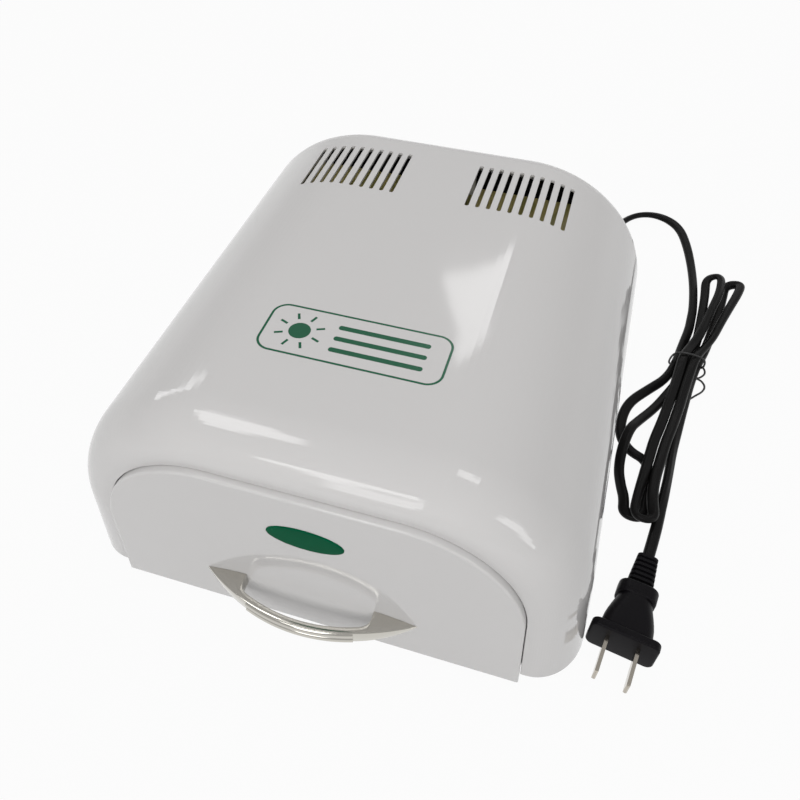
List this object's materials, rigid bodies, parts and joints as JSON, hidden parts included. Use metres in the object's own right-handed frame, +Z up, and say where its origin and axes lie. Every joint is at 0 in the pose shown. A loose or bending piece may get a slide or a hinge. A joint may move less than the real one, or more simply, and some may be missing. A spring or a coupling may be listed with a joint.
{
  "type": "dental light curing unit",
  "caption": "Bench light-curing box with an arched white casing, roof vents, a pull-out drawer with a chrome handle, lamps inside and a two-pin mains lead",
  "frame": {"origin": "on the table, under the middle of the unit without its lead, between the handle's front and the timer button's rear end", "axes": "+X to the right seen from the drawer, +Y from the drawer to the rear, +Z up"},
  "size_m": [0.2839, 0.3656, 0.105],
  "materials": {
    "casing": "glossy white injection-moulded ABS",
    "steel_sheet": "zinc-plated sheet steel",
    "reflector": "bright rolled aluminium sheet",
    "mirror": "silvered mirror plate",
    "chrome": "polished chrome plate",
    "badge": "green printed plate with a pale rim, blank",
    "black_rubber": "black rubber",
    "cord": "black PVC cable, satin",
    "plug": "black moulded PVC, satin",
    "blade": "polished nickel-plated brass",
    "screw": "zinc-plated steel screws",
    "lamp_glass": "frosted violet-white lamp glass",
    "lamp_base": "off-white heat-proof plastic",
    "pin": "brass",
    "board": "olive-yellow paper laminate board",
    "electronics": "dark electronic components",
    "control": "black moulded plastic",
    "rocker": "red rocker",
    "button": "green push button",
    "lens": "red indicator lens",
    "tie": "black plastic-coated wire"
  },
  "bodies": {
    "housing": {"top_shell": "casing", "base_pan": "steel_sheet", "rear_bulkhead": "reflector", "reflector_liner": "reflector", "rail_left": "steel_sheet", "rail_right": "steel_sheet", "drawer_stops": "black_rubber", "rubber_feet": "black_rubber", "base_screws": "screw", "pan_screws": "screw", "board_screws": "screw", "terminal_screws": "screw", "lamp_top_left": "lamp_glass", "lamp_top_right": "lamp_glass", "lamp_side_left": "lamp_glass", "lamp_side_right": "lamp_glass", "lamp_caps": "lamp_base", "lamp_sockets": "lamp_base", "lamp_pins": "pin", "lamp_clips": "steel_sheet", "ballast_board_left": "board", "ballast_board_right": "board", "ballast_parts_left": "electronics", "ballast_parts_right": "electronics", "switch_body": "control", "switch_tabs": "pin", "timer_body": "control", "timer_nut": "screw", "indicator_lens": "lens", "cord_gland": "cord", "cord_inner": "cord", "terminal_block": "lamp_base", "cord_lead": "cord", "cord_hank": "cord", "cord_tail": "cord", "cord_tie": "tie", "plug_body": "plug", "plug_blades": "blade"},
    "drawer": {"drawer_front": "casing", "drawer_tray": "casing", "tray_mirror": "mirror", "tray_screws": "screw", "handle": "chrome", "handle_screws": "screw", "front_badge": "badge"},
    "rocker": {"switch_rocker": "rocker"},
    "button": {"timer_button": "button"}
  },
  "joints": [
    {"name": "drawer_slide", "type": "slide", "parent": "housing", "child": "drawer", "axis": [0, -1, 0], "range_m": [0, 0.112]},
    {"name": "rocker_tilt", "type": "hinge", "parent": "housing", "child": "rocker", "pos_m": [-0.055, 0.11575, 0.032], "axis": [1, 0, 0], "range_deg": [0, 18]},
    {"name": "timer_press", "type": "slide", "parent": "housing", "child": "button", "axis": [0, -1, 0], "range_m": [0, 0.0018], "stiffness_N_per_m": 250}
  ]
}
